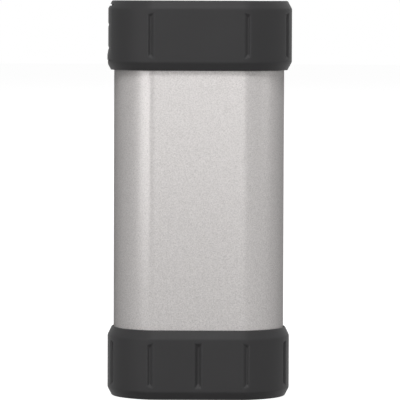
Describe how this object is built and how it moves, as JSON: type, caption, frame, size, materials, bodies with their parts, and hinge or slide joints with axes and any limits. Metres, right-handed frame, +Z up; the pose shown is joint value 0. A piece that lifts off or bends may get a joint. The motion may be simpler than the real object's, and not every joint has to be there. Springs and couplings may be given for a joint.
{
  "type": "rechargeable hand warmer",
  "caption": "Upright rechargeable hand warmer: flat-fronted aluminium tube between black rubber end bumpers, with a hinged port cover, push button and heating cells inside.",
  "frame": {"origin": "under the middle of the base, on the surface that the hand warmer stands on", "axes": "+Z up along the tube, -Y out of the flat front face, +X to the right seen from the front; the port cover is on the -X side"},
  "size_m": [0.0554, 0.0376, 0.118],
  "materials": {
    "silver_aluminium": "fine bead-blasted, satin",
    "black_rubber": "moulded, matt",
    "black_plastic": "fine spark texture",
    "button_plastic": "satin",
    "trim_plastic": "metallic painted",
    "clear_plastic": "clear, polished",
    "gasket_rubber": "silicone, matt",
    "screw_steel": "zinc plated",
    "socket_steel": "nickel plated, bright",
    "board_green": "solder mask",
    "chip_black": "moulded",
    "ferrite": "sintered, matt",
    "capacitor_can": "bright",
    "cell_wrap": "shrink sleeve",
    "holder_plastic": "moulded",
    "nickel": "rolled strip",
    "heater_film": "polyimide film",
    "foam_grey": "closed-cell foam",
    "wire_red": "silicone insulation",
    "wire_black": "silicone insulation",
    "wire_white": "glass braid insulation",
    "led_white": "moulded lens"
  },
  "bodies": {
    "case": {"case_tube": "silver_aluminium", "top_bumper": "black_rubber", "bottom_bumper": "black_rubber", "port_cover_anchor": "black_rubber", "top_end_cap": "black_plastic", "bottom_end_cap": "black_plastic", "top_lid": "black_plastic", "top_gasket": "gasket_rubber", "bottom_gasket": "gasket_rubber", "top_screw_1": "screw_steel", "top_screw_2": "screw_steel", "top_screw_3": "screw_steel", "top_screw_4": "screw_steel", "bottom_screw_1": "screw_steel", "bottom_screw_2": "screw_steel", "bottom_screw_3": "screw_steel", "bottom_screw_4": "screw_steel", "button_trim": "trim_plastic", "tact_switch": "chip_black", "light_guide": "clear_plastic", "indicator_led_1": "led_white", "indicator_led_2": "led_white", "indicator_led_3": "led_white", "indicator_led_4": "led_white", "main_board": "board_green", "board_screw_1": "screw_steel", "board_screw_2": "screw_steel", "power_chip": "chip_black", "charger_chip": "chip_black", "inductor": "ferrite", "capacitor_1": "capacitor_can", "capacitor_2": "capacitor_can", "usb_a_socket": "socket_steel", "usb_a_tongue": "chip_black", "usb_c_socket": "socket_steel", "usb_c_tongue": "chip_black", "cell_left": "cell_wrap", "cell_right": "cell_wrap", "cell_holder_lower": "holder_plastic", "cell_holder_upper": "holder_plastic", "cell_tab_lower": "nickel", "cell_tab_upper_left": "nickel", "cell_tab_upper_right": "nickel", "heater_front": "heater_film", "heater_rear": "heater_film", "foam_front": "foam_grey", "foam_rear": "foam_grey", "thermistor": "wire_black", "battery_wire_positive": "wire_red", "battery_wire_negative": "wire_black", "heater_wire_front": "wire_white", "heater_wire_rear": "wire_white"},
    "cover": {"port_cover": "black_rubber"},
    "button": {"power_button": "button_plastic"},
    "plunger": {"tact_plunger": "button_plastic"}
  },
  "joints": [
    {"name": "port_cover_hinge", "type": "hinge", "parent": "case", "child": "cover", "pos_m": [-0.02655, 0, 0.11665], "axis": [0, 1, 0], "range_deg": [0, 120]},
    {"name": "power_button_slide", "type": "slide", "parent": "case", "child": "button", "axis": [0, -1, 0], "range_m": [0, 0.0004], "stiffness_N_per_m": 1500, "springref_m": -0.0002},
    {"name": "tact_plunger_slide", "type": "slide", "parent": "case", "child": "plunger", "axis": [0, -1, 0], "range_m": [0, 0.0004]}
  ],
  "couplings": [
    {"joint": "tact_plunger_slide", "follows": "power_button_slide", "ratio": 1}
  ]
}
